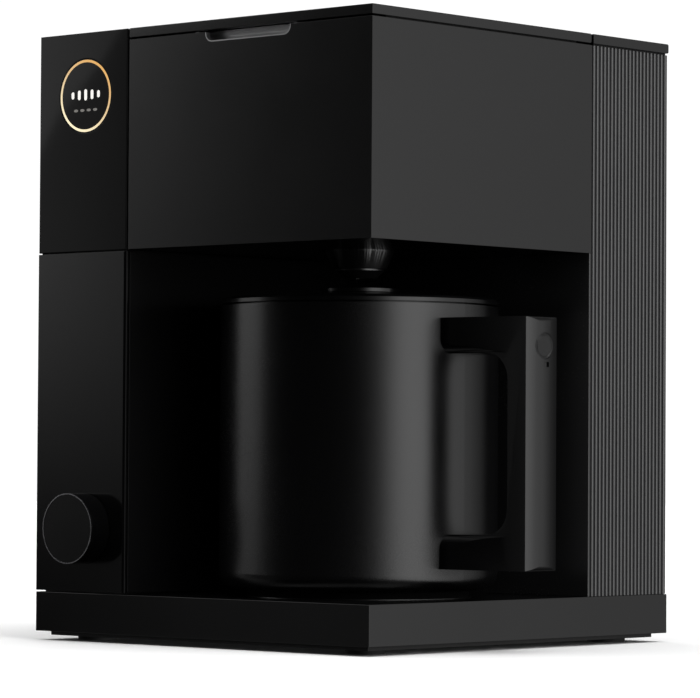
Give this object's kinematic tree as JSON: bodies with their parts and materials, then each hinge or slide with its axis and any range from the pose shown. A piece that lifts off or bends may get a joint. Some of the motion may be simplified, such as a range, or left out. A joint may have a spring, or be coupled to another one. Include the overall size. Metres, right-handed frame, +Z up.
{
  "type": "drip brewer",
  "caption": "Square all-in-one drip brewer with a round display, a rotary knob, a reeded lift-out water tank and an insulated carafe in an open bay.",
  "frame": {"origin": "centre of the square footprint at table level, in the plane of the feet's undersides", "axes": "+Z up, the front with the knob and display faces -Y, the carafe's handle points to +X"},
  "size_m": [0.2635, 0.2389, 0.3043],
  "materials": {
    "satin_black": "fine satin texture, near black",
    "soft_black": "matte, black",
    "panel_black": "smooth satin, black",
    "gloss_black": "polished, black",
    "screen": "polished black glass over a round screen",
    "reeded_grey": "satin, charcoal",
    "pocket_grey": "satin, mid grey",
    "foot_rubber": "matte",
    "rest_black": "satin with a polished edge",
    "knob_black": "satin, black",
    "knob_edge": "dark anodised, polished edge",
    "coated_steel": "fine powder coat, black",
    "carafe_black": "satin, black",
    "stainless": "brushed",
    "steel_hardware": "plain",
    "aluminium_block": "cast",
    "circuit_board": "green board",
    "pump_grey": "moulded",
    "white_plastic": "moulded",
    "clear_hose": "milky silicone",
    "grey_silicone": "matte",
    "red_silicone": "matte",
    "brass_contact": "plated"
  },
  "bodies": {
    "machine": {"base_shell": "satin_black", "bottom_cover": "soft_black", "feet": "foot_rubber", "base_screws": "steel_hardware", "rest_plate": "rest_black", "chassis": "soft_black", "column_lower": "satin_black", "control_panel": "panel_black", "column_upper": "satin_black", "display_glass": "gloss_black", "display_lens": "screen", "display_module": "circuit_board", "control_board": "circuit_board", "encoder": "steel_hardware", "bay_wall": "soft_black", "rear_housing": "reeded_grey", "rear_top": "satin_black", "power_inlet": "soft_black", "inlet_pins": "brass_contact", "main_board": "circuit_board", "power_board": "circuit_board", "pump": "pump_grey", "flow_meter": "white_plastic", "heater": "aluminium_block", "hoses": "clear_hose", "tank_dock": "soft_black", "dock_seal": "red_silicone", "head_shell": "satin_black", "finger_pocket": "pocket_grey", "brew_chamber": "soft_black", "basket": "soft_black", "outlet_cone": "soft_black", "water_port": "white_plastic", "drip_spring": "steel_hardware"},
    "knob_push": {"encoder_plunger": "white_plastic"},
    "knob": {"knob_shaft": "steel_hardware", "knob_cap": "knob_black", "knob_rim": "knob_edge"},
    "drip_stop": {"drip_valve": "soft_black"},
    "brew_lid": {"lid_panel": "satin_black", "lid_liner": "soft_black", "lid_gasket": "grey_silicone", "shower_head": "stainless", "lid_pins": "steel_hardware"},
    "tank": {"tank_body": "reeded_grey", "tank_valve": "white_plastic", "tank_filter": "stainless"},
    "tank_cover": {"tank_lid": "satin_black", "tank_lid_pins": "steel_hardware"},
    "carafe": {"carafe_shell": "coated_steel", "carafe_liner": "stainless", "carafe_foot": "soft_black", "carafe_handle": "carafe_black", "handle_lugs": "steel_hardware", "handle_screws": "steel_hardware", "handle_cap": "carafe_black"},
    "carafe_cover": {"carafe_lid": "carafe_black", "lid_core": "soft_black", "lid_seal": "grey_silicone"}
  },
  "joints": [
    {"name": "knob_press", "type": "slide", "parent": "machine", "child": "knob_push", "axis": [0, 1, 0], "range_m": [0, 0.0005], "stiffness_N_per_m": 800, "springref_m": -0.002},
    {"name": "knob_turn", "type": "hinge", "parent": "knob_push", "child": "knob", "pos_m": [-0.0773, -0.113, 0.0565], "axis": [0, -1, 0], "continuous": true},
    {"name": "drip_push", "type": "slide", "parent": "machine", "child": "drip_stop", "axis": [0, 0, 1], "range_m": [0, 0.003], "stiffness_N_per_m": 200, "springref_m": -0.003, "deforming": ["drip_spring"]},
    {"name": "brew_lid_hinge", "type": "hinge", "parent": "machine", "child": "brew_lid", "pos_m": [0.03165, 0.04785, 0.30195], "axis": [-1, 0, 0], "range_deg": [0, 88]},
    {"name": "tank_lift", "type": "slide", "parent": "machine", "child": "tank", "axis": [0, 0, 1], "range_m": [0, 0.29]},
    {"name": "tank_lid_hinge", "type": "hinge", "parent": "tank", "child": "tank_cover", "pos_m": [0.056, 0.11065, 0.30195], "axis": [-1, 0, 0], "range_deg": [0, 88]},
    {"name": "carafe_slide", "type": "slide", "parent": "machine", "child": "carafe", "axis": [0, -1, 0], "range_m": [0, 0.19]},
    {"name": "carafe_lid_turn", "type": "hinge", "parent": "carafe", "child": "carafe_cover", "pos_m": [0.03165, -0.031, 0.1705], "axis": [0, 0, 1], "range_deg": [0, 60]}
  ]
}
